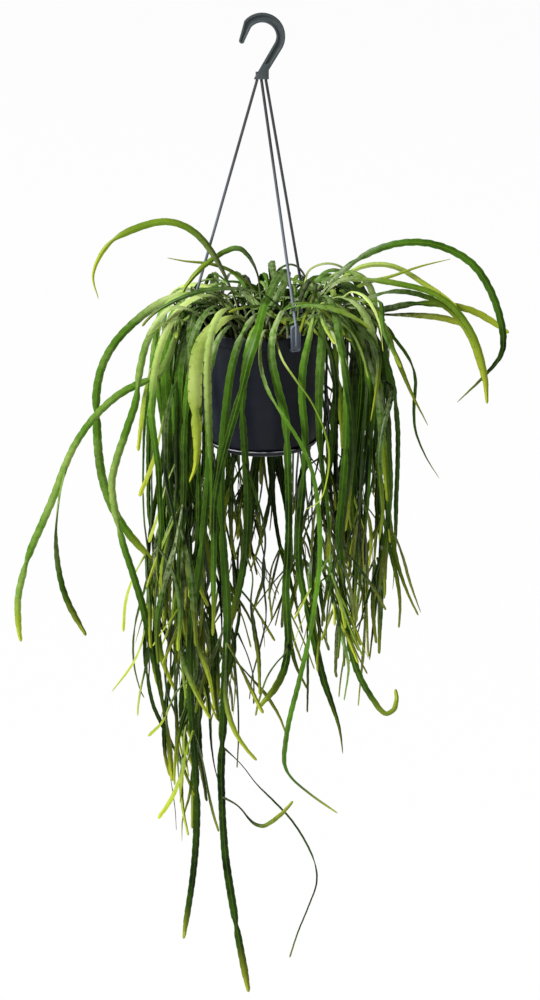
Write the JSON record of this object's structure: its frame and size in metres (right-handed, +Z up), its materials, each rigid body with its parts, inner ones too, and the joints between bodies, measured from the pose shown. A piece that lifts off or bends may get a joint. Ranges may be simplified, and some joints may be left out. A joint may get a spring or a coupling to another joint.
{
  "type": "potted lepismium bolivianum",
  "caption": "Trailing cactus with long flat notched stems, in a hanging nursery pot with a clip-on saucer, rigid hanger rods and a hook.",
  "frame": {"origin": "the seat of the hook: the highest point of the hook's inner curve, which rests on what holds the pot up", "axes": "+Z up, against the hang of the stems; +X to the right and -Y towards the viewer in the picture, so the hook's flat faces look along Y"},
  "size_m": [0.5545, 0.2819, 1.1398],
  "materials": {
    "holder_plastic": "moulded, slightly satin, blue-black",
    "saucer_plastic": "moulded, slightly satin, blue-black",
    "hook_plastic": "moulded, satin, dark green-grey",
    "rod_plastic": "moulded, semi-gloss, dark grey",
    "compost": "rough, dry brown potting compost",
    "mature_stem": "waxy, satin, mid to dark green",
    "young_stem": "waxy, satin, yellow-green"
  },
  "bodies": {
    "root": {"pot": "holder_plastic", "saucer": "saucer_plastic", "hook": "hook_plastic", "hanger_left": "rod_plastic", "hanger_front": "rod_plastic", "hanger_back": "rod_plastic", "soil": "compost", "spray_01": "mature_stem", "spray_02": "mature_stem", "spray_03": "mature_stem", "spray_04": "mature_stem", "spray_05": "mature_stem", "spray_06": "mature_stem", "spray_07": "mature_stem", "spray_08": "mature_stem", "spray_09": "mature_stem", "spray_10": "mature_stem", "spray_11": "mature_stem", "spray_12": "mature_stem", "spray_13": "mature_stem", "spray_14": "mature_stem", "spray_15": "mature_stem", "spray_16": "mature_stem", "spray_17": "mature_stem", "spray_18": "mature_stem", "spray_19": "mature_stem", "spray_20": "mature_stem", "spray_21": "mature_stem", "spray_22": "mature_stem", "spray_23": "mature_stem", "spray_24": "mature_stem", "spray_25": "mature_stem", "spray_26": "mature_stem", "spray_27": "mature_stem", "stem_upper_left": "young_stem", "stem_small_arch": "mature_stem", "stem_upper_shoot": "young_stem", "stem_left_long": "mature_stem", "stem_left_outer": "mature_stem", "stem_left_inner": "mature_stem", "stem_right_arch": "mature_stem", "stem_right_upper": "young_stem", "stem_right_middle": "mature_stem", "stem_right_reach": "mature_stem", "stem_right_shoot": "young_stem", "stem_right_thin": "young_stem", "stem_right_pale": "young_stem", "stem_right_wiry": "mature_stem", "stem_front_longest": "mature_stem", "stem_front_bright": "young_stem", "stem_front_left_long": "mature_stem", "stem_front_middle": "mature_stem", "stem_front_slanted": "mature_stem", "stem_front_crossing": "young_stem", "stem_front_right_inner": "mature_stem", "stem_front_right_pale": "mature_stem", "stem_front_right_outer": "mature_stem"}
  },
  "joints": []
}
